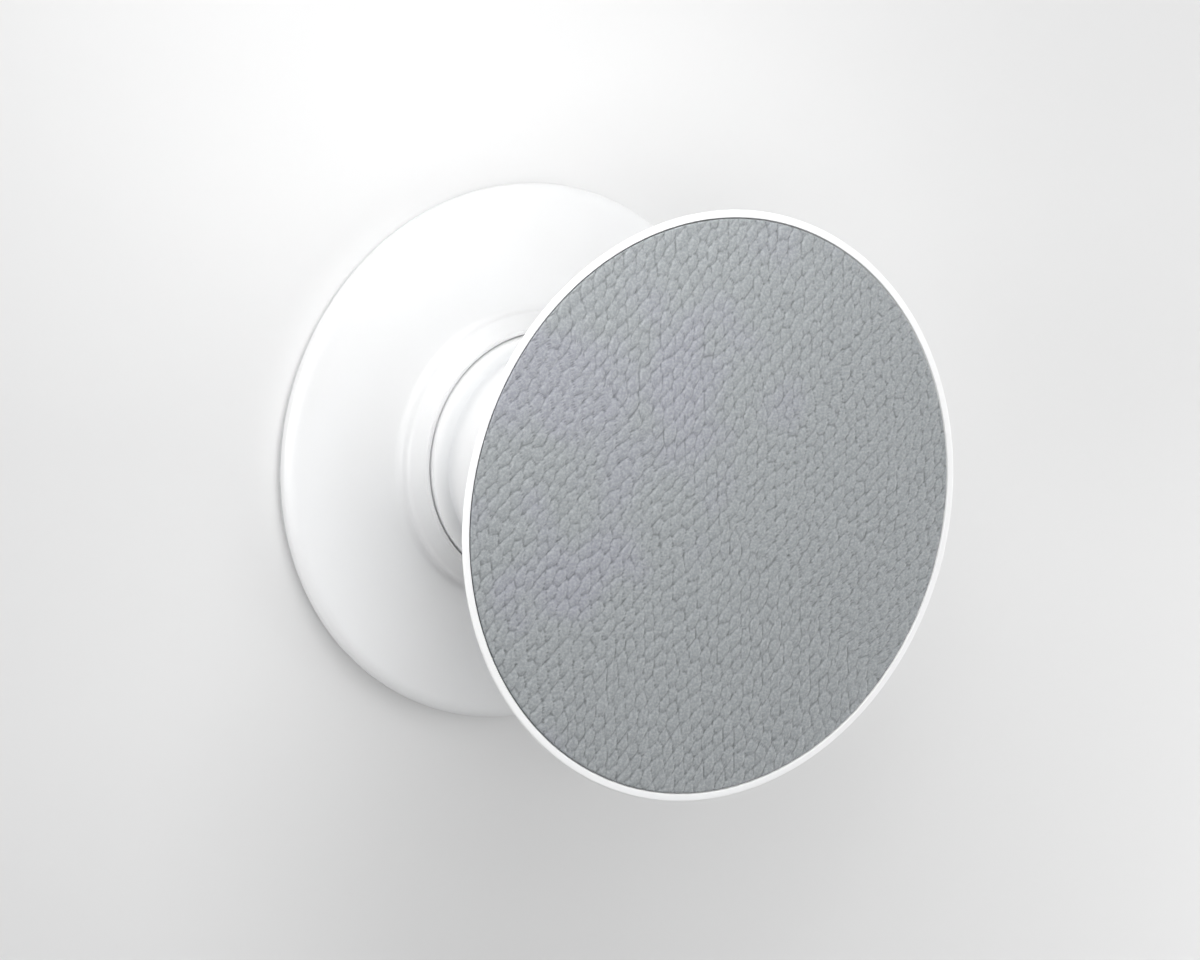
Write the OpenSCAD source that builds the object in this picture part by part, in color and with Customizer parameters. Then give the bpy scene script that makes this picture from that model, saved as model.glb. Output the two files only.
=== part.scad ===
// Expanding phone grip: a round base disc, a collapsible bellows that turns in the
// base on a twist lock, and a round button with a leather inlay.
// Everything is coaxial with Z. The back of the grip lies on z = 0.

/* [Button] */
// Diameter of the button, over its rim
button_d = 40; // [36:0.5:46]
// Width of the flat rim round the inlay
rim_w = 0.5; // [0.4:0.1:1.2]
// Width of the bevel under the rim
bevel_w = 1; // [0.9:0.05:1.4]
// Height of the bevel under the rim
bevel_h = 1.2; // [1:0.05:1.4]
// Radius that breaks the rim's sharp edge
rim_edge_r = 0.1; // [0.05:0.05:0.15]
// Thickness of the button's floor under the inlay
button_floor = 1.6; // [1.5:0.1:2]
// Diameter of the flat part of the button's underside
under_flat_d = 23; // [20:0.5:28]
// Depth of the recess that locates the bellows in the underside
seat_depth = 0.4; // [0.2:0.05:0.6]

/* [Inlay] */
// Thickness of the leather
leather_t = 0.5; // [0.4:0.05:0.7]
// Height by which the leather stands above the rim
leather_proud = 0.05; // [0:0.05:0.2]
// Radius of the leather's pressed edge
leather_edge_r = 0.25; // [0.1:0.05:0.35]
// Amount by which the leather's edge is pared away towards its back
skive = 0.3; // [0.2:0.05:0.5]
// Gap between the leather and the rim
leather_gap = 0.07; // [0.04:0.01:0.2]
// Thickness of the glue film under the leather
glue_t = 0.1; // [0.05:0.05:0.2]
// Distance by which the glue film stays inside the leather's edge
glue_inset = 0.15; // [0.1:0.05:1]

/* [Base disc] */
// Diameter of the base disc
base_d = 38.8; // [35:0.2:44]
// Height of the base disc at its outer edge
base_edge_h = 0.9; // [0.8:0.1:1.4]
// Width of the soft round along the edge of the face
edge_round_w = 0.9; // [0.5:0.1:1.5]
// Height of the soft round along the edge of the face
edge_round_h = 0.42; // [0.3:0.02:0.6]
// Chamfer on the back edge
back_chamfer = 0.12; // [0.05:0.01:0.2]
// Rise of the face from the edge to the foot of the hub
face_rise = 0.2; // [0.1:0.01:0.4]
// Height of the hub's lip above the edge of the face
hub_h = 2.04; // [1.9:0.02:3]
// Bore of the hub that takes the bellows
hub_bore_d = 18.14; // [17:0.1:20]
// Width of the rounded lip round the bore
lip_w = 0.36; // [0.3:0.02:0.6]
// Height of the rounded crown of the lip
lip_crown = 0.12; // [0.08:0.02:0.2]
// Width of the hub's wall at the edge of its cone
hub_wall_w = 1.33; // [1:0.01:1.8]
// Drop of the cone from the lip to that edge
cone_drop = 0.74; // [0.5:0.02:0.9]
// Length of the rounding of that edge
hub_edge_round = 0.3; // [0.1:0.05:0.4]
// Width of the fillet at the foot of the hub
fillet_w = 0.55; // [0.3:0.05:1]
// Height of the fillet at the foot of the hub
fillet_h = 0.45; // [0.3:0.05:0.6]

/* [Back layers] */
// Thickness of the peel-off liner
liner_t = 0.1; // [0.05:0.05:0.2]
// Thickness of the adhesive pad
pad_t = 0.6; // [0.4:0.1:1]
// Distance by which the pad stays inside the base disc's edge
pad_inset = 0.35; // [0.2:0.05:0.6]
// Distance by which the liner stays inside the base disc's edge
liner_inset = 0.3; // [0.1:0.05:0.6]

/* [Twist lock] */
// Thickness of the cover that closes the lock's cavity from behind
cover_t = 0.3; // [0.2:0.05:0.5]
// Width of the ledge that the cover sits on
cover_ledge = 1.8; // [1.2:0.1:2.2]
// Clearance round the cover
cover_gap = 0.1; // [0.05:0.05:0.2]
// Diameter of the cavity that the wings turn in
cavity_d = 14.8; // [14:0.1:15.5]
// Height of the cavity
cavity_h = 1.1; // [1:0.05:1.4]
// Thickness of the keyed floor above the cavity
keyed_floor_t = 0.8; // [0.6:0.05:1]
// Diameter of the neck that turns in the keyed floor
neck_d = 9.4; // [9:0.1:10]
// Running clearance of the neck, on the radius
neck_gap = 0.1; // [0.05:0.01:0.1]
// Axial clearance above and below the wings and the foot
lock_play = 0.1; // [0.08:0.01:0.15]
// Thickness of the wings
wing_t = 0.85; // [0.7:0.05:0.85]
// Width of the wings
wing_w = 5; // [4:0.2:6]
// Clearance of the wings in the cavity and in the key slot
wing_gap = 0.25; // [0.15:0.05:0.35]
// Height of the foot's flange, which holds the bellows' hook
foot_flange_t = 0.36; // [0.3:0.02:0.5]
// Height of the foot's plate under the flange
foot_plate_t = 0.34; // [0.3:0.02:0.5]
// Reach of the foot's flange over the bellows' hook
hook_reach = 0.55; // [0.4:0.05:0.7]
// Snap clearance between the bellows and what it grips
snap_gap = 0.08; // [0.05:0.01:0.1]

/* [Drive key] */
// Span of the cross-shaped key under the clip plug
key_span = 4.2; // [3.6:0.2:5]
// Width of each arm of the key
key_arm = 1.5; // [1.2:0.1:2]
// Length of the key
key_h = 0.95; // [0.6:0.05:1]
// Clearance of the key in its pocket
key_gap = 0.15; // [0.1:0.05:0.25]
// Depth of the pocket
pocket_h = 1.3; // [1.1:0.05:1.5]

/* [Bellows] */
// Clearance between the bellows' collar and the hub's bore
collar_gap = 0.14; // [0.1:0.02:0.2]
// Wall of the collar in the hub
collar_wall = 0.9; // [0.8:0.05:1]
// Height of the collar's straight wall above the lip
collar_rise = 0.3; // [0.2:0.05:0.8]
// Height over which the collar rounds in to the first groove
collar_round_h = 0.6; // [0.4:0.02:1.2]
// Number of full folds between the two collars
fold_count = 3; // [2:1:4]
// Height of one fold
fold_pitch = 5.85; // [5:0.01:6.2]
// Depth of the grooves between the folds
fold_depth = 0.8; // [0.4:0.02:1]
// Depth of the topmost groove
top_fold_depth = 0.65; // [0.3:0.05:0.8]
// Wall of the folds at their crests
fold_wall = 0.75; // [0.6:0.05:0.8]
// Wall of the folds in the grooves, where they hinge
hinge_wall = 0.45; // [0.35:0.05:0.5]
// Amount by which the radius shrinks from the hub to the button
taper = 1.6; // [1:0.1:2]
// Height of the straight collar under the button
top_collar_h = 1.45; // [0.9:0.01:1.8]
// Thickness of the flange that the clip plug holds
top_flange_t = 0.75; // [0.6:0.05:0.9]
// Diameter of the hole in that flange
top_hole_d = 9.2; // [8.5:0.1:9.8]

/* [Clip plug] */
// Thickness of the clip plug's flange
plug_flange_t = 0.7; // [0.5:0.05:0.8]
// Reach of that flange under the bellows' flange
plug_reach = 1.7; // [1.3:0.1:1.8]
// Diameter of the stem that goes through the button's floor
stem_d = 5; // [4:0.2:6]
// Clearance of the stem and the shoulder, on the radius
stem_gap = 0.03; // [0.02:0.01:0.05]

/* [Hidden] */
$fn = 96;
fold_steps = 16;
valley_round = 0.12;

// Heights, from the back of the grip to the front
pad_z = liner_t;
back_z = pad_z + pad_t;
face_z = back_z + base_edge_h;
lip_z = face_z + hub_h;
cover_top_z = back_z + cover_t;
cavity_top_z = cover_top_z + cavity_h;
well_z = cavity_top_z + keyed_floor_t;
foot_z = well_z + lock_play;
flange_z = foot_z + foot_plate_t;
foot_top_z = flange_z + foot_flange_t;
wing_z = cavity_top_z - lock_play - wing_t;
collar_top_z = lip_z + collar_rise;
groove_z = collar_top_z + collar_round_h;
last_groove_z = groove_z + fold_count * fold_pitch;
top_collar_z = last_groove_z + collar_round_h;
bellows_top_z = top_collar_z + top_collar_h;
seat_z = bellows_top_z + lock_play / 2;
under_z = seat_z - seat_depth;
floor_top_z = under_z + button_floor;
leather_z = floor_top_z + glue_t;
leather_top_z = leather_z + leather_t;
front_z = leather_top_z - leather_proud;

// Radii
button_r = button_d / 2;
recess_r = button_r - rim_w;
leather_r = recess_r - leather_gap;
base_r = base_d / 2;
round_r = base_r - edge_round_w;
bore_r = hub_bore_d / 2;
lip_r = bore_r + lip_w;
hub_r = bore_r + hub_wall_w;
hub_foot_r = hub_r + fillet_w;
cavity_r = cavity_d / 2;
ledge_r = cavity_r + cover_ledge;
aperture_r = neck_d / 2 + neck_gap;
wing_r = cavity_r - 2 * wing_gap;
slot_r = cavity_r - wing_gap;
collar_r = bore_r - collar_gap;
grip_r = collar_r - collar_wall;
flange_r = grip_r - snap_gap;
hook_r = flange_r - hook_reach;
plate_r = hook_r - snap_gap;
top_collar_r = collar_r - taper;
top_hole_r = top_hole_d / 2;
plug_r = top_hole_r + plug_reach;
shoulder_plug_r = top_hole_r - snap_gap;

// Points of an arc or of a quarter of an ellipse about c, from angle a0 to a1
function arc(c, rx, ry, a0, a1, n = 6) =
    [for (i = [0:n]) let (a = a0 + (a1 - a0) * i / n) [c[0] + rx * cos(a), c[1] + ry * sin(a)]];

// Points of a cubic curve with the two handles p1 and p2
function bezier(p0, p1, p2, p3, n = 9) =
    [for (i = [0:n]) let (t = i / n, s = 1 - t)
        s * s * s * p0 + 3 * s * s * t * p1 + 3 * s * t * t * p2 + t * t * t * p3];

// Height of the base disc's face at radius r, between the hub and the edge
function face_at(r) = face_z + face_rise * pow(max(0, round_r - r) / (round_r - hub_foot_r), 2);

// How deep in a groove the height z lies: 1 at its bottom, 0 on a crest or a collar
function groove_at(z) =
    let (d = z < groove_z ? (groove_z - z) / collar_round_h
           : z > last_groove_z ? (z - last_groove_z) / collar_round_h
           : 1 - abs(((z - groove_z) / fold_pitch) % 1 - 0.5) * 2)
    d >= 1 ? 0 : 1 - (norm([sin(90 * d), valley_round]) - valley_round)
                     / (norm([1, valley_round]) - valley_round);

// Outer radius of the bellows at height z, and its wall there
function height_share(z) = min(1, max(0, (z - collar_top_z) / (top_collar_z - collar_top_z)));
function fold_r(z) =
    let (share = height_share(z), depth = fold_depth + (top_fold_depth - fold_depth) * share)
    collar_r - taper * share - depth * groove_at(z);
function wall_at(z) =
    let (w = z <= collar_top_z ? collar_wall
           : z < groove_z ? collar_wall + (fold_wall - collar_wall) * (z - collar_top_z) / collar_round_h
           : fold_wall)
    w - (w - hinge_wall) * groove_at(z);

// Heights at which the bellows' profile has a point
fold_zs = concat(
    [for (i = [0:fold_steps / 2 - 1]) collar_top_z + collar_round_h * i * 2 / fold_steps],
    [for (i = [0:fold_count * fold_steps]) groove_z + fold_pitch * i / fold_steps],
    [for (i = [1:fold_steps / 2]) last_groove_z + collar_round_h * i * 2 / fold_steps]);

// A disc with its lowest face at z
module disc(r, z, t) {
    translate([0, 0, z])
        cylinder(r = r, h = t);
}

// A cross with rounded arm ends, for the key and its pocket
module cross(span, arm) {
    intersection() {
        circle(d = span);
        union() {
            square([span, arm], center = true);
            square([arm, span], center = true);
        }
    }
}

// The two wings of the lock, or the slot that lets them through
module wings(r, w) {
    intersection() {
        circle(r = r);
        square([2 * r, w], center = true);
    }
}

module release_liner() {
    color("gainsboro")
        disc(base_r - liner_inset, 0, liner_t);
}

module adhesive_pad() {
    color("whitesmoke")
        disc(base_r - pad_inset, pad_z, pad_t);
}

module cavity_cover() {
    color("lightgray")
        disc(ledge_r - cover_gap, back_z, cover_t);
}

module base_disc() {
    slope = 2 * face_rise / (round_r - hub_foot_r);
    fillet_z = face_z + face_rise;
    lip_low_z = lip_z - lip_crown;
    edge = [hub_r, lip_z - cone_drop];
    draft = [-0.04, 1] * hub_edge_round;
    cone = ([lip_r, lip_low_z] - edge) / norm([lip_r, lip_low_z] - edge) * hub_edge_round;
    color("white")
        difference() {
            rotate_extrude()
                polygon(concat(
                    [[aperture_r, cavity_top_z], [cavity_r, cavity_top_z], [cavity_r, cover_top_z],
                     [ledge_r, cover_top_z], [ledge_r, back_z], [base_r - back_chamfer, back_z],
                     [base_r, back_z + back_chamfer]],
                    arc([round_r, face_z - edge_round_h], edge_round_w, edge_round_h, 0, 90, 8),
                    [for (i = [1:8]) let (r = round_r + (hub_foot_r - round_r) * i / 9) [r, face_at(r)]],
                    bezier([hub_foot_r, fillet_z],
                           [hub_foot_r - fillet_w * 0.6, fillet_z + slope * fillet_w * 0.6],
                           [hub_r + 0.02, fillet_z + fillet_h * 0.4], [hub_r, fillet_z + fillet_h], 7),
                    bezier(edge - draft, edge - draft * 0.4, edge + cone * 0.4, edge + cone, 6),
                    arc([bore_r + lip_w / 2, lip_low_z], lip_w / 2, lip_crown, 0, 180, 8),
                    [[bore_r, well_z], [aperture_r, well_z]]));
            rotate([0, 0, 90])
                translate([0, 0, cavity_top_z - 1])
                    linear_extrude(keyed_floor_t + 2)
                        wings(slot_r, wing_w + 2 * wing_gap);
        }
}

module lock_foot() {
    color("snow")
        difference() {
            union() {
                rotate_extrude()
                    polygon([[0, wing_z], [neck_d / 2, wing_z], [neck_d / 2, foot_z], [plate_r, foot_z],
                             [plate_r, flange_z], [flange_r, flange_z], [flange_r, foot_top_z - 0.15],
                             [flange_r - 0.15, foot_top_z], [0, foot_top_z]]);
                translate([0, 0, wing_z])
                    linear_extrude(wing_t)
                        wings(wing_r, wing_w);
            }
            translate([0, 0, foot_top_z - pocket_h])
                linear_extrude(pocket_h + 1)
                    cross(key_span + 2 * key_gap, key_arm + 2 * key_gap);
        }
}

module bellows() {
    foot_lip_z = foot_z;
    hook_top_z = flange_z - snap_gap;
    flange_low_z = bellows_top_z - top_flange_t;
    color("ghostwhite")
        rotate_extrude()
            polygon(concat(
                [[hook_r, foot_lip_z], [collar_r - 0.15, foot_lip_z], [collar_r, foot_lip_z + 0.15]],
                [for (z = fold_zs) [fold_r(z), z]],
                [[top_collar_r, bellows_top_z], [top_hole_r, bellows_top_z], [top_hole_r, flange_low_z],
                 [top_collar_r - fold_wall, flange_low_z]],
                [for (i = [len(fold_zs) - 1:-1:0]) let (z = fold_zs[i])
                    if (z < flange_low_z) [fold_r(z) - wall_at(z), z]],
                [[grip_r, hook_top_z], [hook_r, hook_top_z]]));
}

module clip_plug() {
    flange_top_z = bellows_top_z - top_flange_t - snap_gap;
    low_z = flange_top_z - plug_flange_t;
    color("snow")
        union() {
            rotate_extrude()
                polygon([[0, low_z], [plug_r - 0.2, low_z], [plug_r, low_z + 0.2], [plug_r, flange_top_z],
                         [shoulder_plug_r, flange_top_z], [shoulder_plug_r, seat_z - stem_gap],
                         [stem_d / 2, seat_z - stem_gap], [stem_d / 2, floor_top_z - stem_gap],
                         [0, floor_top_z - stem_gap]]);
            translate([0, 0, low_z - key_h])
                linear_extrude(key_h + 0.1)
                    cross(key_span, key_arm);
        }
}

module button_disc() {
    under_r = under_flat_d / 2;
    bevel_r = button_r - bevel_w;
    bevel_z = front_z - rim_edge_r * 2 - bevel_h;
    rise = bevel_z - under_z;
    run = bevel_r - under_r;
    color("white")
        rotate_extrude()
            polygon(concat(
                [[stem_d / 2 + stem_gap, seat_z], [top_collar_r + snap_gap * 2, seat_z],
                 [top_collar_r + snap_gap * 2, under_z]],
                bezier([under_r, under_z], [under_r + run * 0.4, under_z],
                       [bevel_r - run * 0.2, bevel_z - rise * 0.8], [bevel_r, bevel_z], 9),
                arc([button_r - rim_edge_r, front_z - rim_edge_r], rim_edge_r, rim_edge_r, -45, 90, 5),
                [[recess_r + 0.04, front_z], [recess_r, front_z - 0.04], [recess_r - skive, floor_top_z],
                 [stem_d / 2 + stem_gap, floor_top_z]]));
}

module inlay_glue() {
    color("lightyellow")
        disc(leather_r - skive - glue_inset, floor_top_z, glue_t);
}

module leather_inlay() {
    color("darkgray")
        rotate_extrude()
            polygon(concat(
                [[0, leather_z], [leather_r - skive, leather_z]],
                arc([leather_r - leather_edge_r, leather_top_z - leather_edge_r],
                    leather_edge_r, leather_edge_r, 0, 90, 6),
                [[0, leather_top_z]]));
}

release_liner();
adhesive_pad();
cavity_cover();
base_disc();
lock_foot();
bellows();
clip_plug();
button_disc();
inlay_glue();
leather_inlay();
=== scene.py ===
"""Looks of the expanding phone grip: moulded white discs, elastomer bellows and pebbled leather inlay.

Lengths are in metres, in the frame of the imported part: the back of the grip lies on z = 0, the common
axis is +Z, and the button faces up. MM turns the named millimetre values into metres.
"""
import math

import bpy
import numpy as np
from mathutils import Matrix, Vector


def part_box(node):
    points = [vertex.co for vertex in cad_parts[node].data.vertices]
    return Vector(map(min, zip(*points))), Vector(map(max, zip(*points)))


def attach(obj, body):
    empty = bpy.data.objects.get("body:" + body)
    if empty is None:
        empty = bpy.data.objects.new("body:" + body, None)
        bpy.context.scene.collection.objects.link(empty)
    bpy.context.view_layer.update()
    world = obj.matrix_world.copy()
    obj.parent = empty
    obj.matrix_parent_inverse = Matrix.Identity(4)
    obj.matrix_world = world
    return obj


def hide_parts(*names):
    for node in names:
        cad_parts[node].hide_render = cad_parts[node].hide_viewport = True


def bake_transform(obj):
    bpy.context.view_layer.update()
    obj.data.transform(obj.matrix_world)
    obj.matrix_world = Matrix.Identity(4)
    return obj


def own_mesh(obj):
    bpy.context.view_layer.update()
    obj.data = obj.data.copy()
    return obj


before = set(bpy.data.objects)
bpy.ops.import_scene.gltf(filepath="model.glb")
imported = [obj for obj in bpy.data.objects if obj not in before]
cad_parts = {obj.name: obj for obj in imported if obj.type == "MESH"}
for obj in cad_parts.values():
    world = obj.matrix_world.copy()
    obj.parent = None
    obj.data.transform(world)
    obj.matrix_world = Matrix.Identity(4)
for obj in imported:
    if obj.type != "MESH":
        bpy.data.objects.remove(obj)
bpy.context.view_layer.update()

MM = 0.001

# Sizes that the frame gives
BASE_LOW, BASE_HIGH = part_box("base_disc")
BELLOWS_LOW, BELLOWS_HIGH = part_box("bellows")
BUTTON_LOW, BUTTON_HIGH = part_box("button_disc")
LEATHER_LOW, LEATHER_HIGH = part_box("leather_inlay")

# Base disc
BASE_R = BASE_HIGH[0]
BACK_Z = BASE_LOW[2]
LIP_Z = BASE_HIGH[2]
FACE_Z = BACK_Z + 0.9 * MM
EDGE_ROUND_W = 0.9 * MM
EDGE_ROUND_H = 0.42 * MM
BACK_CHAMFER = 0.12 * MM
FACE_RISE = 0.2 * MM
BORE_R = 9.03 * MM
LIP_W = 0.36 * MM
LIP_CROWN = 0.12 * MM
HUB_WALL_W = 1.37 * MM
HUB_EDGE_ROUND = 0.3 * MM
HUB_EDGE_DROP = 0.74 * MM
FILLET_W = 0.55 * MM
FILLET_H = 0.45 * MM
COVER_TOP_Z = BACK_Z + 0.3 * MM
CAVITY_TOP_Z = COVER_TOP_Z + 1.1 * MM
WELL_Z = CAVITY_TOP_Z + 0.8 * MM
HUB_DRAFT = 0.04
CAVITY_R = 7.4 * MM
LEDGE_R = 9.2 * MM
APERTURE_R = 4.8 * MM

# Bellows
COLLAR_R = BELLOWS_HIGH[0]
FOOT_Z = BELLOWS_LOW[2]
TOP_Z = BELLOWS_HIGH[2]
TRAVEL = 17.4 * MM
COLLAR_WALL = 0.9 * MM
COLLAR_TOP_Z = LIP_Z + 0.3 * MM
COLLAR_ROUND_H = 0.6 * MM
FOLD_COUNT = 3
FOLD_PITCH = 5.85 * MM
FOLD_DEPTH = 0.8 * MM
TOP_FOLD_DEPTH = 0.65 * MM
VALLEY_ROUND = 0.45
FOLD_WALL = 0.75 * MM
HINGE_WALL = 0.45 * MM
TAPER = 1.6 * MM
GROOVE_Z = COLLAR_TOP_Z + COLLAR_ROUND_H
LAST_GROOVE_Z = GROOVE_Z + FOLD_COUNT * FOLD_PITCH
TOP_COLLAR_Z = LAST_GROOVE_Z + COLLAR_ROUND_H
TOP_FLANGE_T = 0.75 * MM
TOP_HOLE_R = 4.6 * MM
HOOK_R = 7.4 * MM
HOOK_TOP_Z = FOOT_Z + 0.26 * MM
SPLIT_LOW_Z = LIP_Z + 0.1 * MM
FOOT_CHAMFER = 0.15 * MM
NECK_ROUND = 0.1 * MM

# Button and inlay
BUTTON_R = BUTTON_HIGH[0]
FRONT_Z = BUTTON_HIGH[2]
UNDER_Z = BUTTON_LOW[2]
SEAT_Z = UNDER_Z + 0.4 * MM
SEAT_R = 7.49 * MM
STEM_R = 2.53 * MM
UNDER_FLAT_R = 11.5 * MM
RIM_W = 0.5 * MM
RIM_EDGE_R = 0.1 * MM
BEVEL_W = 1.0 * MM
BEVEL_H = 1.2 * MM
FLOOR_TOP_Z = UNDER_Z + 1.6 * MM
SKIVE = 0.3 * MM
BREAK_R = 0.05 * MM
LEATHER_R = LEATHER_HIGH[0]
LEATHER_TOP_Z = LEATHER_HIGH[2]
LEATHER_BACK_Z = LEATHER_LOW[2]
LEATHER_EDGE_R = 0.16 * MM
CREASE_DEPTH = 0.17 * MM

# Leather grain: lengths in millimetres, and the widths of the painted crease-shade lines in the share
# that pebble_cells gives
GRAIN_ANGLE = math.radians(68)
PEBBLE_LENGTH = 1.02
PEBBLE_WIDTH = 0.92
PEBBLE_CELLS = {"squeeze": 0.56, "jitter": 0.46, "sharpness": 14.0, "spread": 0.35, "seed": 4}
PEBBLE_SHADE_LINE_W = 0.09
WRINKLE_LENGTH = 0.40
WRINKLE_WIDTH = 0.24
WRINKLE_CELLS = {"squeeze": 0.7, "jitter": 0.9, "sharpness": 12.0, "spread": 0.5, "seed": 5}
WRINKLE_SHADE_LINE_W = 0.06
THREAD_LENGTH = 0.42
THREAD_WIDTH = 0.13
BEND_SIZES_REACHES_SEEDS = ((4.5, 0.30, 1), (0.9, 0.07, 7), (0.33, 0.02, 9))
NOISE_TABLE = 64

# Leather colours
GREY_BODY = (0.289, 0.308, 0.316, 1)
VIOLET_BODY = (0.297, 0.306, 0.341, 1)
# Painted shade: the darker colours that the leather takes in its creases
GREY_CREASE_SHADE = (0.085, 0.090, 0.094, 1)
VIOLET_CREASE_SHADE = (0.088, 0.091, 0.102, 1)
PALE_PORE = (0.47, 0.49, 0.51, 1)
# Painted shade: the near-black colour of the inlay's edge and side, for the shade in the gap round it
GAP_SHADE_EDGE = (0.035, 0.036, 0.04, 1)

# Steps of the meshes
DISC_STEPS = 320
BELLOWS_STEPS = 192
LEATHER_STEPS = 292
LEATHER_EDGE_STEPS = 6

# Camera, as it stood to the grip in the photograph
CAMERA_RIGHT = Vector((0.83400, 0.0, 0.55176))
CAMERA_UP = Vector((0.10462, 0.98185, -0.15814))
CAMERA_FORWARD = Vector((0.54174, -0.18962, -0.81887))
CAMERA_PLACE = Vector((-146.3 * MM, 50.85 * MM, FRONT_Z + 206.8 * MM))
CAMERA_LENS = 116.1
SENSOR_WIDTH = 36
FLOOR_REACH = 3.0


def arc(centre, rx, rz, start, end, n=12):
    """Points of an elliptical arc: centre + (rx cos a, rz sin a) for a from start to end in degrees."""
    a = np.radians(np.linspace(start, end, n + 1))
    return np.stack([centre[0] + rx * np.cos(a), centre[1] + rz * np.sin(a)], 1)


def bezier(p0, p1, p2, p3, n=24):
    """Points of a cubic curve: the Bernstein sum of the four control points for t from 0 to 1."""
    t = np.linspace(0, 1, n + 1)[:, None]
    p0, p1, p2, p3 = (np.array(p, float) for p in (p0, p1, p2, p3))
    return (1 - t) ** 3 * p0 + 3 * (1 - t) ** 2 * t * p1 + 3 * (1 - t) * t**2 * p2 + t**3 * p3


def without_doubles(profile, tolerance=1e-7):
    """The outline without points that lie on the one before them."""
    gap = np.linalg.norm(profile - np.roll(profile, 1, 0), axis=1)
    return profile[gap > tolerance]


def mesh_piece(name, vertices, faces, sharp=30):
    """A smooth-shaded object at the origin, with edges sharper than the given angle kept hard."""
    mesh = bpy.data.meshes.new(name)
    mesh.from_pydata(vertices.reshape(-1, 3).tolist(), [], faces)
    mesh.validate()
    mesh.shade_smooth()
    mesh.set_sharp_from_angle(angle=math.radians(sharp))
    piece = bpy.data.objects.new(name, mesh)
    bpy.context.scene.collection.objects.link(piece)
    return piece


def note(piece, name, values):
    """Stores a number at each corner of the mesh, for its material to read."""
    attribute = piece.data.attributes.new(name, "FLOAT", "POINT")
    attribute.data.foreach_set("value", np.asarray(values, dtype=np.float32))


def revolve(name, profile, around):
    """A closed (r, z) outline, listed anticlockwise, carried round Z: the point at angle a is
    (r cos a, r sin a, z), and the last column of faces joins the first."""
    profile = without_doubles(profile)
    rows = len(profile)
    a = np.linspace(0, 2 * math.pi, around, endpoint=False)[:, None]
    r, z = profile[:, 0][None], profile[:, 1][None]
    points = np.stack([r * np.cos(a), r * np.sin(a), z + 0 * a], 2)
    column, row = np.meshgrid(np.arange(around), np.arange(rows), indexing="ij")
    next_column, next_row = (column + 1) % around, (row + 1) % rows
    faces = np.stack([column * rows + row, next_column * rows + row,
                      next_column * rows + next_row, column * rows + next_row], 2)
    return mesh_piece(name, points, faces.reshape(-1, 4).tolist())


class Sockets:
    """Builds one material's nodes, with a Principled shader that is already joined to the output."""

    def __init__(self, name):
        self.material = bpy.data.materials.new(name)
        self.material.use_nodes = True
        self.tree = self.material.node_tree
        self.tree.nodes.clear()
        self.shader = self.tree.nodes.new("ShaderNodeBsdfPrincipled")
        output = self.tree.nodes.new("ShaderNodeOutputMaterial")
        self.tree.links.new(self.shader.outputs["BSDF"], output.inputs["Surface"])

    def join(self, value, socket):
        """Sets a socket to a value, or links it to a wrapped socket."""
        if isinstance(value, Value):
            self.tree.links.new(value.socket, socket)
        else:
            socket.default_value = value

    def node(self, kind, output=0, settings=None, **inputs):
        """A node of that kind with its settings, then its inputs; keys like in_0 name an input by
        its number, and others by its name with _ for a space."""
        made = self.tree.nodes.new("ShaderNode" + kind)
        for key, value in (settings or {}).items():
            setattr(made, key, value)
        for key, value in inputs.items():
            where = int(key[3:]) if key.startswith("in_") else key.replace("_", " ")
            self.join(value, made.inputs[where])
        return Value(self, made.outputs[output])

    def set(self, **inputs):
        """Sets or links inputs of the Principled shader."""
        for key, value in inputs.items():
            self.join(value, self.shader.inputs[key.replace("_", " ")])

    def place(self):
        """Object coordinates, in metres."""
        return self.node("TexCoord", output="Object")

    def attribute(self, name):
        """A number that the mesh carries under that name."""
        return self.node("Attribute", output="Fac", settings={"attribute_name": name})

    def noise(self, vector, scale, detail=2.0, roughness=0.5):
        """Soft noise round 0.5, with scale waves to the metre."""
        return self.node("TexNoise", Vector=vector, Scale=scale, Detail=detail, Roughness=roughness)

    def part(self, vector, axis):
        """One component of a vector."""
        return self.node("SeparateXYZ", output=axis, Vector=vector)

    def mix(self, share, a, b):
        """A colour between a and b."""
        return self.node("Mix", output=2, settings={"data_type": "RGBA"}, in_0=share, in_6=a, in_7=b)

    def bump(self, height, distance, strength=1.0, normal=None):
        """A normal tipped by the height, over another normal where one is given."""
        extra = {"Normal": normal} if normal is not None else {}
        return self.node("Bump", Height=height, Distance=distance, Strength=strength, **extra)


class Value:
    """A node's output, on which arithmetic adds Math nodes."""

    def __init__(self, sockets, socket):
        self.sockets, self.socket = sockets, socket

    def math(self, operation, a, b):
        """A Math node on a and b, each a Value or a number."""
        return self.sockets.node("Math", settings={"operation": operation}, in_0=a, in_1=b)

    def __add__(self, other):
        return self.math("ADD", self, other)

    __radd__ = __add__

    def __sub__(self, other):
        return self.math("SUBTRACT", self, other)

    def __rsub__(self, other):
        return self.math("SUBTRACT", other, self)

    def __mul__(self, other):
        return self.math("MULTIPLY", self, other)

    __rmul__ = __mul__

    def between(self, low, high):
        """0 below low, 1 above high, and a smooth step between them."""
        return self.sockets.node("MapRange", settings={"interpolation_type": "SMOOTHSTEP"}, Value=self,
                                 From_Min=low, From_Max=high)


def grey(value, warm=0.0):
    """A near-neutral colour; warm above 0 leans to yellow and below 0 to blue."""
    return (value * (1 + warm), value, value * (1 - warm), 1.0)


def moulded_plastic(name, white, roughness, coat):
    """Injection-moulded white plastic: faint orange peel, uneven polish, hardly any hue."""
    m = Sockets(name)
    place = m.place()
    cloud = m.noise(place, scale=90.0, detail=3.0)
    peel = m.noise(place, scale=1500.0)
    m.set(Base_Color=m.mix(cloud.between(0.35, 0.65), grey(white, -0.006), grey(white * 0.985, -0.002)),
          Roughness=cloud * 0.08 + (roughness - 0.04),
          Normal=m.bump(peel, distance=0.004 * MM, strength=0.5),
          IOR=1.5, Coat_Weight=coat, Coat_Roughness=0.25)
    return m.material


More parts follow.
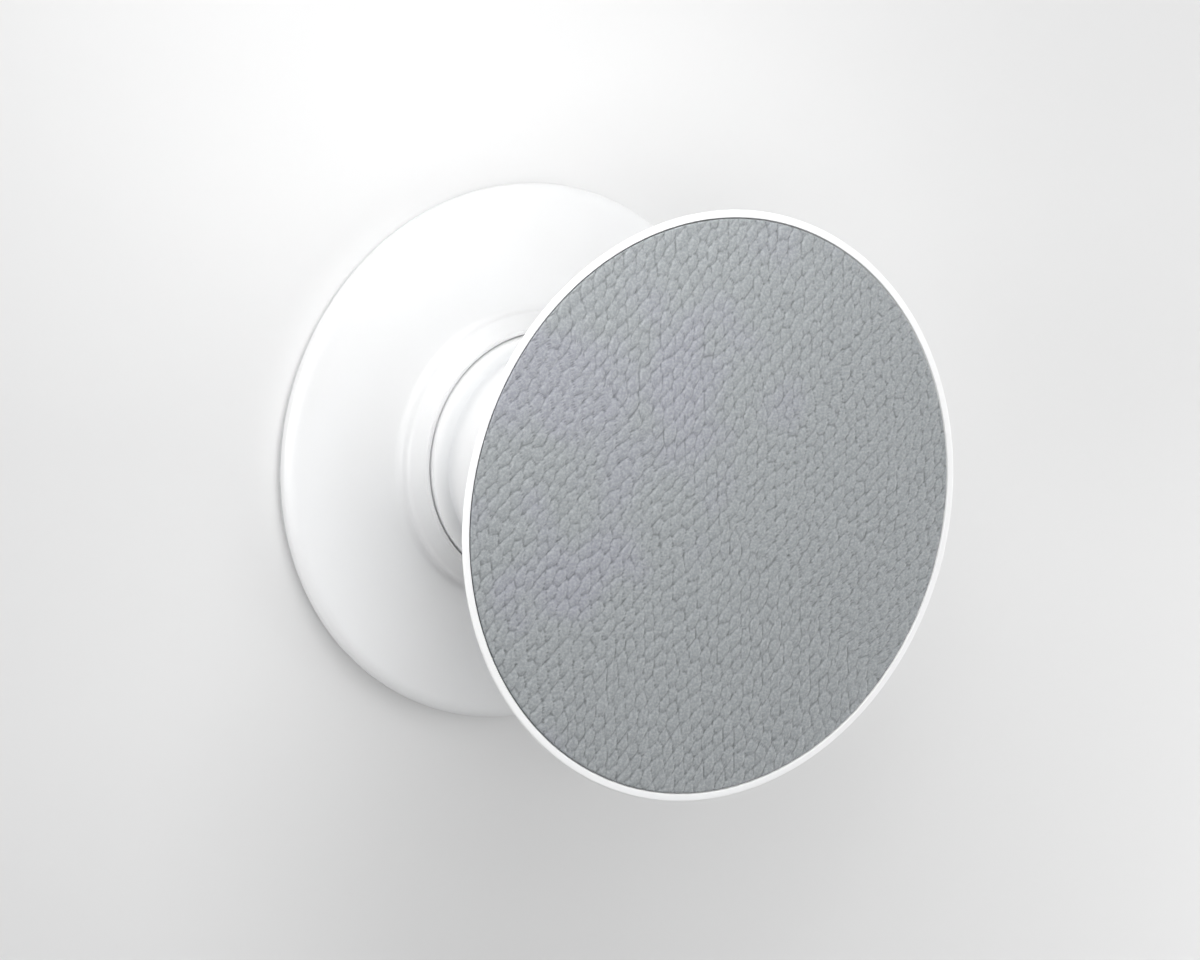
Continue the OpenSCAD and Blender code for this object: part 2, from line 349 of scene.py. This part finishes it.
def elastomer():
    """Soft white elastomer: matt skin with a faint sheen, greyer in the grooves, where the wall thins:
    painted shade."""
    m = Sockets("bellows_elastomer")
    place = m.place()
    skin = m.noise(place, scale=2600.0, detail=3.0)
    cloud = m.noise(place, scale=150.0)
    thin = m.attribute("thin_wall")
    thick_tone = m.mix(cloud.between(0.3, 0.7), grey(0.94, -0.004), grey(0.925, -0.002))
    # Painted shade: the colour falls to the grey in the grooves by their share
    m.set(Base_Color=m.mix(thin, thick_tone, grey(0.80, -0.012)),
          Roughness=cloud * 0.06 + 0.46,
          Normal=m.bump(skin, distance=0.005 * MM, strength=0.5),
          IOR=1.45, Sheen_Weight=0.08, Sheen_Roughness=0.4)
    return m.material


def foil():
    """Release film: milky, smooth, with long faint ripples."""
    m = Sockets("release_film")
    place = m.place()
    ripple = m.noise(place, scale=60.0, detail=1.0)
    m.set(Base_Color=m.mix(ripple.between(0.3, 0.7), grey(0.78, -0.01), grey(0.74, -0.01)),
          Roughness=ripple * 0.1 + 0.22,
          Normal=m.bump(ripple, distance=0.08 * MM, strength=0.6))
    return m.material


def gel():
    """Adhesive pad and glue film: milky, with a fine speckle."""
    m = Sockets("adhesive_gel")
    place = m.place()
    speckle = m.noise(place, scale=1800.0)
    m.set(Base_Color=m.mix(speckle.between(0.3, 0.7), grey(0.8, -0.004), grey(0.74, -0.004)),
          Roughness=speckle * 0.1 + 0.45,
          Normal=m.bump(speckle, distance=0.01 * MM, strength=0.5))
    return m.material


def leather():
    """Cool grey pebbled leather: painted shade darkens it in the mesh's creases and along the crease
    lines; a slow random drift, with a painted sheen toward the upper left (-X, +Y), turns it violet and
    a little lighter; pores and hair-fine wrinkles speckle and roughen it. Its cut edge is painted
    nearly black, as the shade of the gap round the inlay."""
    m = Sockets("pebbled_leather")
    place = m.place()
    relief = m.attribute("relief")
    line = m.attribute("crease_shade_line")
    drift = m.noise(place, scale=130.0)
    pores = m.noise(place, scale=5200.0, detail=3.0, roughness=0.6)
    wrinkle = m.noise(place, scale=2400.0, detail=3.0, roughness=0.6)
    # Painted sheen: the violet share grows toward -X, +Y, the upper left in the camera, where the light
    # falls; the drift noise alone is random tone
    painted_sheen_per_metre = 9.0
    violet = (drift + (m.part(place, "Y") - m.part(place, "X")) * painted_sheen_per_metre).between(0.56, 0.76)
    body = m.mix(violet, GREY_BODY, VIOLET_BODY)
    crease = m.mix(violet, GREY_CREASE_SHADE, VIOLET_CREASE_SHADE)
    # Painted shade: the colour falls to the crease colours in the hollows and along the crease lines
    tone = m.mix(relief.between(0.05, 0.60) * (1 - line * 0.62), crease, body)
    specked = m.mix(pores.between(0.40, 0.66) * (0.45 - line * 0.35), tone, PALE_PORE)
    pebbled = m.bump(relief, distance=0.12 * MM)
    m.set(Base_Color=m.mix(m.attribute("gap_shade_edge"), specked, GAP_SHADE_EDGE),
          Roughness=0.56 - relief * 0.08 + pores * 0.06,
          Normal=m.bump(wrinkle * 0.6 + pores * 0.4, distance=0.06 * MM, strength=0.8, normal=pebbled),
          IOR=1.45)
    return m.material


def base_outline():
    """Half section of the base disc, anticlockwise from the keyed floor: lock cavity, back face,
    soft round of the edge (quarter ellipse), dished face (parabola), fillet (cubic), drafted wall of
    the hub, rounded edge (cubic), cone, lip (half ellipse), bore and well."""
    round_r = BASE_R - EDGE_ROUND_W
    lip_r = BORE_R + LIP_W
    hub_r = BORE_R + HUB_WALL_W
    foot_r = hub_r + FILLET_W
    foot_z = FACE_Z + FACE_RISE
    lip_low_z = LIP_Z - LIP_CROWN
    edge_z = LIP_Z - HUB_EDGE_DROP
    draft = np.array([-HUB_DRAFT, 1.0]) * HUB_EDGE_ROUND
    cone = np.array([lip_r - hub_r, lip_low_z - edge_z]) / np.hypot(lip_r - hub_r, lip_low_z - edge_z)
    slope = 2 * FACE_RISE / (round_r - foot_r)
    r = np.linspace(round_r, foot_r, 24)
    face = np.stack([r, FACE_Z + FACE_RISE * ((round_r - r) / (round_r - foot_r)) ** 2], 1)
    edge = np.array([hub_r, edge_z])
    return np.concatenate([
        [[APERTURE_R, CAVITY_TOP_Z], [CAVITY_R, CAVITY_TOP_Z], [CAVITY_R, COVER_TOP_Z],
         [LEDGE_R, COVER_TOP_Z], [LEDGE_R, BACK_Z]],
        arc([BASE_R - BACK_CHAMFER, BACK_Z + BACK_CHAMFER], BACK_CHAMFER, BACK_CHAMFER, -90, 0, 6),
        arc([round_r, FACE_Z - EDGE_ROUND_H], EDGE_ROUND_W, EDGE_ROUND_H, 0, 90, 24),
        face,
        bezier([foot_r, foot_z], [foot_r - FILLET_W * 0.6, foot_z + slope * FILLET_W * 0.6],
               [hub_r + 0.02 * MM, foot_z + FILLET_H * 0.4], [hub_r, foot_z + FILLET_H], 16),
        bezier(edge - draft, edge - draft * 0.4, edge + cone * HUB_EDGE_ROUND * 0.4,
               edge + cone * HUB_EDGE_ROUND, 14),
        [[lip_r, lip_low_z]],
        arc([BORE_R + LIP_W / 2, lip_low_z], LIP_W / 2, LIP_CROWN, 0, 180, 20),
        [[BORE_R, WELL_Z], [APERTURE_R, WELL_Z]],
    ])


def groove_share(z):
    """How deep in a groove the height z lies: 1 - sin(pi d / 2) of the distance d to the nearest
    groove, in half pitches, with its cusp rounded, and 0 on the collars."""
    low = (GROOVE_Z - z) / COLLAR_ROUND_H
    high = (z - LAST_GROOVE_Z) / COLLAR_ROUND_H
    mid = 1 - np.abs(((z - GROOVE_Z) / FOLD_PITCH) % 1 - 0.5) * 2
    d = np.where(z < GROOVE_Z, low, np.where(z > LAST_GROOVE_Z, high, mid))
    sine = np.sin(np.pi / 2 * np.clip(d, 0, 1))
    on_crest = math.hypot(1, VALLEY_ROUND) - VALLEY_ROUND
    return 1 - (np.hypot(sine, VALLEY_ROUND) - VALLEY_ROUND) / on_crest


def fold_radius(z):
    """Outer radius of the bellows: a straight taper from collar to collar, less the groove, whose
    depth also tapers."""
    share = np.clip((z - COLLAR_TOP_Z) / (TOP_COLLAR_Z - COLLAR_TOP_Z), 0, 1)
    depth = FOLD_DEPTH + (TOP_FOLD_DEPTH - FOLD_DEPTH) * share
    return COLLAR_R - TAPER * share - depth * groove_share(z)


def fold_wall(z):
    """Wall of the bellows: the collar's wall thins to the folds' over the collar's round, and the
    groove's share takes it from there to the hinge's."""
    share = np.clip((z - COLLAR_TOP_Z) / COLLAR_ROUND_H, 0, 1)
    thick = COLLAR_WALL + (FOLD_WALL - COLLAR_WALL) * share
    return thick - (thick - HINGE_WALL) * groove_share(z)


def wall_between(z0, z1, n):
    """Outer wall from z0 up to z1, and inner wall back down, as two lists of points."""
    z = np.linspace(z0, z1, n)
    outer = np.stack([fold_radius(z), z], 1)
    inner = np.stack([fold_radius(z) - fold_wall(z), z], 1)[::-1]
    return outer, inner


def bellows_pieces():
    """The one elastomer moulding in three stretches, which meet where its wall is upright: the foot
    collar in the hub, the folds, and the neck under the button."""
    grip_r = COLLAR_R - COLLAR_WALL
    foot = revolve("bellows_collar", np.array([
        [HOOK_R, FOOT_Z], [COLLAR_R - FOOT_CHAMFER, FOOT_Z], [COLLAR_R, FOOT_Z + FOOT_CHAMFER],
        [COLLAR_R, SPLIT_LOW_Z], [grip_r, SPLIT_LOW_Z], [grip_r, HOOK_TOP_Z], [HOOK_R, HOOK_TOP_Z]]),
        BELLOWS_STEPS)
    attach(foot, "turntable")
    folds = revolve("bellows_folds", np.concatenate(wall_between(SPLIT_LOW_Z, LAST_GROOVE_Z, 160)),
                    BELLOWS_STEPS)
    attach(folds, "turntable")
    length = LAST_GROOVE_Z - SPLIT_LOW_Z
    (length - TRAVEL) / length
    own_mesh(folds)
    flange_low_z = TOP_Z - TOP_FLANGE_T
    outer, inner = wall_between(LAST_GROOVE_Z, flange_low_z, 24)
    top_r = COLLAR_R - TAPER
    neck = revolve("bellows_neck", np.concatenate([
        outer, arc([top_r - NECK_ROUND, TOP_Z - NECK_ROUND], NECK_ROUND, NECK_ROUND, 0, 90, 5),
        [[TOP_HOLE_R, TOP_Z], [TOP_HOLE_R, flange_low_z]], inner]), BELLOWS_STEPS)
    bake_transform(neck)
    for stretch in (foot, folds, neck):
        heights = np.array([corner.co.z for corner in stretch.data.vertices])
        # Painted shade: the share of each groove that greys the elastomer's colour
        note(stretch, "thin_wall", groove_share(heights))
    return foot, folds, neck


def button_outline():
    """Half section of the button, anticlockwise from the stem hole: seat for the bellows, flat
    underside, cubic sweep up to the bevel, rim (small arc), recess with its slanted wall."""
    bevel_r = BUTTON_R - BEVEL_W
    bevel_z = FRONT_Z - RIM_EDGE_R * 2 - BEVEL_H
    rise, run = bevel_z - UNDER_Z, bevel_r - UNDER_FLAT_R
    recess_r = BUTTON_R - RIM_W
    return np.concatenate([
        [[STEM_R, SEAT_Z], [SEAT_R, SEAT_Z], [SEAT_R, UNDER_Z + BREAK_R], [SEAT_R + BREAK_R, UNDER_Z]],
        bezier([UNDER_FLAT_R, UNDER_Z], [UNDER_FLAT_R + run * 0.4, UNDER_Z],
               [bevel_r - run * 0.2, bevel_z - rise * 0.8], [bevel_r, bevel_z], 32),
        arc([BUTTON_R - RIM_EDGE_R, FRONT_Z - RIM_EDGE_R], RIM_EDGE_R, RIM_EDGE_R, -45, 90, 10),
        arc([recess_r + BREAK_R, FRONT_Z - BREAK_R], BREAK_R, BREAK_R, 90, 180, 5),
        [[recess_r - SKIVE, FLOOR_TOP_Z], [STEM_R, FLOOR_TOP_Z]],
    ])


def lattice_noise(x, y, seed):
    """Smooth value noise: random numbers on a unit lattice, joined by smoothstep weights
    f^2 (3 - 2 f) of the place f in its cell."""
    table = np.random.RandomState(seed).rand(NOISE_TABLE, NOISE_TABLE)
    i, j = np.floor(x).astype(int), np.floor(y).astype(int)
    fx, fy = x - i, y - j
    fx, fy = fx * fx * (3 - 2 * fx), fy * fy * (3 - 2 * fy)
    i, j, next_i, next_j = (k % NOISE_TABLE for k in (i, j, i + 1, j + 1))
    a, b = table[i, j], table[next_i, j]
    c, d = table[i, next_j], table[next_i, next_j]
    return (a * (1 - fx) + b * fx) * (1 - fy) + (c * (1 - fx) + d * fx) * fy


def pebble_cells(p, q, squeeze, jitter, sharpness, spread, seed):
    """Soft cells round jittered seeds on a staggered lattice. Each seed has a bell
    exp(-sharpness d^2), scaled a little at random, where the distance d counts the long axis squeeze
    times. Gives the strongest bell's share of their sum (1 on a crown, a half on an edge, less at a
    corner), the soft least d^2, and the cells' random tones mixed by the same shares."""
    rand = np.random.RandomState(seed)
    table = (NOISE_TABLE, NOISE_TABLE)
    jp, jq, tone = rand.rand(*table) - 0.5, rand.rand(*table) - 0.5, rand.rand(*table)
    i0, j0 = np.floor(p).astype(int), np.floor(q).astype(int)
    total, strongest, toned = np.zeros(p.shape), np.zeros(p.shape), np.zeros(p.shape)
    for di in (-2, -1, 0, 1, 2):
        for dj in (-2, -1, 0, 1, 2):
            i, j = i0 + di, j0 + dj
            cell = (i % NOISE_TABLE, j % NOISE_TABLE)
            along = (i + 0.5 + jitter * jp[cell] - p) * squeeze
            across = j + 0.5 * (i % 2) + jitter * jq[cell] - q
            bell = np.exp(spread * (tone[cell] - 0.5) - sharpness * (along**2 + across**2))
            total += bell
            toned += bell * tone[cell]
            strongest = np.maximum(strongest, bell)
    return strongest / total, -np.log(total) / sharpness, toned / total


def grain(x, y):
    """Height of the leather's grain at x, y in millimetres, from 0 in a crease to 1 on a pebble, and
    the strength of the fine line of painted shade along each crease. Pebbles are soft cells drawn out
    along the grain and bent by noise of three sizes. Each is a dome with a crease round it that fades
    here and there, and finer cells and threads wrinkle it. The line is exp(-((share - 1/2) / w)^2).
    What is added to a place, such as 80, only picks another stretch of the pattern."""
    wx, wy = x, y
    for size, reach, seed in BEND_SIZES_REACHES_SEEDS:
        wx = wx + reach * (lattice_noise(x / size + 40, y / size + 40, seed) * 2 - 1)
        wy = wy + reach * (lattice_noise(x / size + 40, y / size + 40, seed + 1) * 2 - 1)
    c, s = math.cos(GRAIN_ANGLE), math.sin(GRAIN_ANGLE)
    along, across = wx * c + wy * s, wy * c - wx * s
    share, level, tone = pebble_cells(along / PEBBLE_LENGTH + 80, across / PEBBLE_WIDTH + 80,
                                      **PEBBLE_CELLS)
    crown = 1 - np.clip((1 - share) * 1.6, 0, 1)
    firm = 0.7 + 0.3 * lattice_noise(x + 20, y + 20, 11)
    dome = 1 - np.clip(level / 0.42, 0, 1)
    wrinkle, _, _ = pebble_cells(along / WRINKLE_LENGTH + 80, across / WRINKLE_WIDTH + 80,
                                 **WRINKLE_CELLS)
    thread = lattice_noise(along / THREAD_LENGTH + 90, across / THREAD_WIDTH + 90, 6)
    height = 0.10 + 0.34 * dome + 0.06 * tone + 0.54 * crown**0.6 * firm + 0.27 * (1 - firm)
    height = height - 0.07 * (1 - wrinkle) - 0.05 * thread
    # Painted shade: a dark line along each crease, and a weaker one along the wrinkles
    pebble_shade_line = np.exp(-(((share - 0.5) / PEBBLE_SHADE_LINE_W) ** 2)) * firm
    wrinkle_shade_line = 0.22 * np.exp(-(((wrinkle - 0.5) / WRINKLE_SHADE_LINE_W) ** 2))
    return np.clip(height, 0, 1), np.clip(pebble_shade_line + wrinkle_shade_line, 0, 1)


def disc_grid(n, radius):
    """A square grid bent onto a disc without a pole: each square ring becomes a circle, and a side's
    share of the ring becomes the same share of a quarter turn."""
    u, v = np.meshgrid(np.linspace(-1, 1, n), np.linspace(-1, 1, n), indexing="ij")
    wide = np.abs(u) > np.abs(v)
    safe_u, safe_v = np.where(u == 0, 1, u), np.where(v == 0, 1, v)
    r = np.where(wide, u, v)
    a = np.where(wide, math.pi / 4 * v / safe_u, math.pi / 2 - math.pi / 4 * u / safe_v)
    return radius * r * np.cos(a), radius * r * np.sin(a)


def leather_piece():
    """The inlay: a disc grid lowered by the crease depth times (1 - the grain's height), a pressed edge
    that is a quarter circle, a pared side and a flat back. It carries the grain's height, its lines of
    painted crease shade, and where its edge and side are painted dark as the shade of the gap round the
    inlay."""
    n = LEATHER_STEPS
    flat_r = LEATHER_R - LEATHER_EDGE_R
    x, y = disc_grid(n, flat_r)
    height, line = grain(x / MM, y / MM)
    top = np.stack([x, y, LEATHER_TOP_Z - CREASE_DEPTH * (1 - height)], 2).reshape(-1, 3)
    i, j = np.meshgrid(np.arange(n - 1), np.arange(n - 1), indexing="ij")
    a = i * n + j
    faces = np.stack([a, a + n, a + n + 1, a + 1], 2).reshape(-1, 4)
    k = np.arange(n - 1)
    border = np.concatenate([k * n, (n - 1) * n + k, (n - 1 - k) * n + n - 1, n - 1 - k])
    angle = np.arctan2(top[border, 1], top[border, 0])
    bare = np.ones(angle.shape)
    rings, relief, gap_shade, lines = [], [height.reshape(-1)], [np.zeros(height.size)], [line.reshape(-1)]
    # Painted shade: the lower part of the rounded edge, the pared side and the back are marked dark, as
    # the gap round the inlay is in shade
    gap_shade_below = 0.5
    for t in np.radians(np.linspace(90, 0, LEATHER_EDGE_STEPS + 1)[1:]):
        r = flat_r + LEATHER_EDGE_R * math.cos(t)
        z = LEATHER_TOP_Z - LEATHER_EDGE_R * (1 - math.sin(t))
        ring_height, ring_shade_line = grain(r * np.cos(angle) / MM, r * np.sin(angle) / MM)
        sink = CREASE_DEPTH * (1 - ring_height) * math.sin(t)
        rings.append(np.stack([r * np.cos(angle), r * np.sin(angle), z - sink], 1))
        relief.append(ring_height)
        lines.append(ring_shade_line)
        gap_shade.append(bare * float(t < gap_shade_below))
    for r in (LEATHER_R - SKIVE, LEATHER_R / 2):
        rings.append(np.stack([r * np.cos(angle), r * np.sin(angle), LEATHER_BACK_Z * bare], 1))
        relief.append(bare)
        lines.append(0 * bare)
        gap_shade.append(bare)
    points = np.concatenate([top, *rings, [[0, 0, LEATHER_BACK_Z]]])
    count = len(border)
    ring_ids = [border] + [len(top) + count * i + np.arange(count) for i in range(len(rings))]
    quads = [faces]
    for inner, outer in zip(ring_ids, ring_ids[1:]):
        quads.append(np.stack([inner, outer, np.roll(outer, -1), np.roll(inner, -1)], 1))
    all_faces = np.concatenate(quads).tolist()
    last, centre = ring_ids[-1], len(points) - 1
    all_faces += np.stack([last, np.full(count, centre), np.roll(last, -1)], 1).tolist()
    piece = mesh_piece("leather_pebbled", points, all_faces, 180)
    note(piece, "relief", np.concatenate([*relief, [1.0]]))
    note(piece, "gap_shade_edge", np.concatenate([*gap_shade, [1.0]]))
    note(piece, "crease_shade_line", np.concatenate([*lines, [0.0]]))
    return piece


def dress(piece, material):
    """Gives every face of the piece that material."""
    piece.data.materials.clear()
    piece.data.materials.append(material)


def area_light(name, place, target, size, power):
    """A square soft box at place, facing target, with its side in metres and its power in watts."""
    light = bpy.data.lights.new(name, "AREA")
    light.shape = "SQUARE"
    light.size, light.energy = size, power
    lamp = bpy.data.objects.new(name, light)
    lamp.location = place
    lamp.rotation_euler = (target - place).to_track_quat("-Z", "Y").to_euler()
    bpy.context.scene.collection.objects.link(lamp)


def studio():
    """Camera of the photograph, pale floor, a near key light at the upper left that fades across the
    leather, soft boxes round the grip, two small ones for the floor at the right, and a dim world."""
    scene = bpy.context.scene
    camera_data = bpy.data.cameras.new("camera")
    camera_data.lens = CAMERA_LENS
    camera_data.sensor_width = SENSOR_WIDTH
    camera_data.clip_start = 0.01
    camera = bpy.data.objects.new("camera", camera_data)
    axes = Matrix([CAMERA_RIGHT, CAMERA_UP, -CAMERA_FORWARD]).transposed().to_4x4()
    camera.matrix_world = Matrix.Translation(CAMERA_PLACE) @ axes
    scene.collection.objects.link(camera)
    scene.camera = camera

    corners = np.array([[-1, -1, 0], [1, -1, 0], [1, 1, 0], [-1, 1, 0]])
    floor = mesh_piece("floor", corners * FLOOR_REACH, [[0, 1, 2, 3]])
    paper = Sockets("floor_paper")
    paper.set(Base_Color=grey(0.77), Roughness=0.9)
    dress(floor, paper.material)

    def around(azimuth, height, distance):
        """A step of that length, at angles in degrees round Z from +X and above the table."""
        a, h = math.radians(azimuth), math.radians(height)
        return distance * Vector((math.cos(a) * math.cos(h), math.sin(a) * math.cos(h), math.sin(h)))

    middle = Vector((0, 0, 0.012))
    for name, place, target, size, power in (
            ("key", middle + around(110.6, 46.5, 0.08), middle, 0.04, 0.030),
            ("side", middle + around(135, 55, 1.20), middle, 0.60, 2.25),
            ("front", middle + around(180, 70, 1.20), middle, 0.60, 4.30),
            ("fill", middle + around(44, 72, 1.20), middle, 1.20, 2.20),
            ("ceiling", middle + around(90, 35, 1.20), middle, 0.60, 1.05),
            ("low_back", middle + around(90, 15, 1.20), middle, 0.60, 1.26),
            ("low_corner", middle + around(135, 15, 1.20), middle, 0.60, 1.10),
            ("window", middle + around(180, 5, 1.20), middle, 0.25, 4.60),
            ("table_right", Vector((0.22, -0.02, 0.050)), Vector((0.05, 0, 0)), 0.12, 0.22),
            ("table_low", Vector((0.20, -0.12, 0.050)), Vector((0.04, -0.02, 0)), 0.12, 0.18)):
        area_light(name, place, target, size, power)

    world = bpy.data.worlds.new("studio")
    world.use_nodes = True
    background = world.node_tree.nodes["Background"]
    background.inputs["Color"].default_value = (0.95, 0.97, 1.0, 1)
    background.inputs["Strength"].default_value = 0.04
    scene.world = world
    scene.view_settings.view_transform = "Standard"


studio()

white_base = moulded_plastic("white_base_plastic", white=0.85, roughness=0.38, coat=0.0)
white_button = moulded_plastic("white_button_plastic", white=0.95, roughness=0.3, coat=0.2)
lock_white = moulded_plastic("lock_plastic", white=0.82, roughness=0.42, coat=0.0)
soft_white = elastomer()

base = revolve("base_shell", base_outline(), DISC_STEPS)
dress(base, white_base)
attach(base, "base")
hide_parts("base_disc")

for stretch in bellows_pieces():
    dress(stretch, soft_white)
    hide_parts("bellows")

button = revolve("button_shell", button_outline(), DISC_STEPS)
dress(button, white_button)
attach(button, "button")
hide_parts("button_disc")

inlay = leather_piece()
dress(inlay, leather())
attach(inlay, "button")
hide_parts("leather_inlay")

for node, material in (("release_liner", foil()), ("adhesive_pad", gel()), ("cavity_cover", lock_white),
                       ("lock_foot", lock_white), ("clip_plug", lock_white), ("inlay_glue", gel())):
    for material_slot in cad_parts[node].material_slots:
        material_slot.material = material
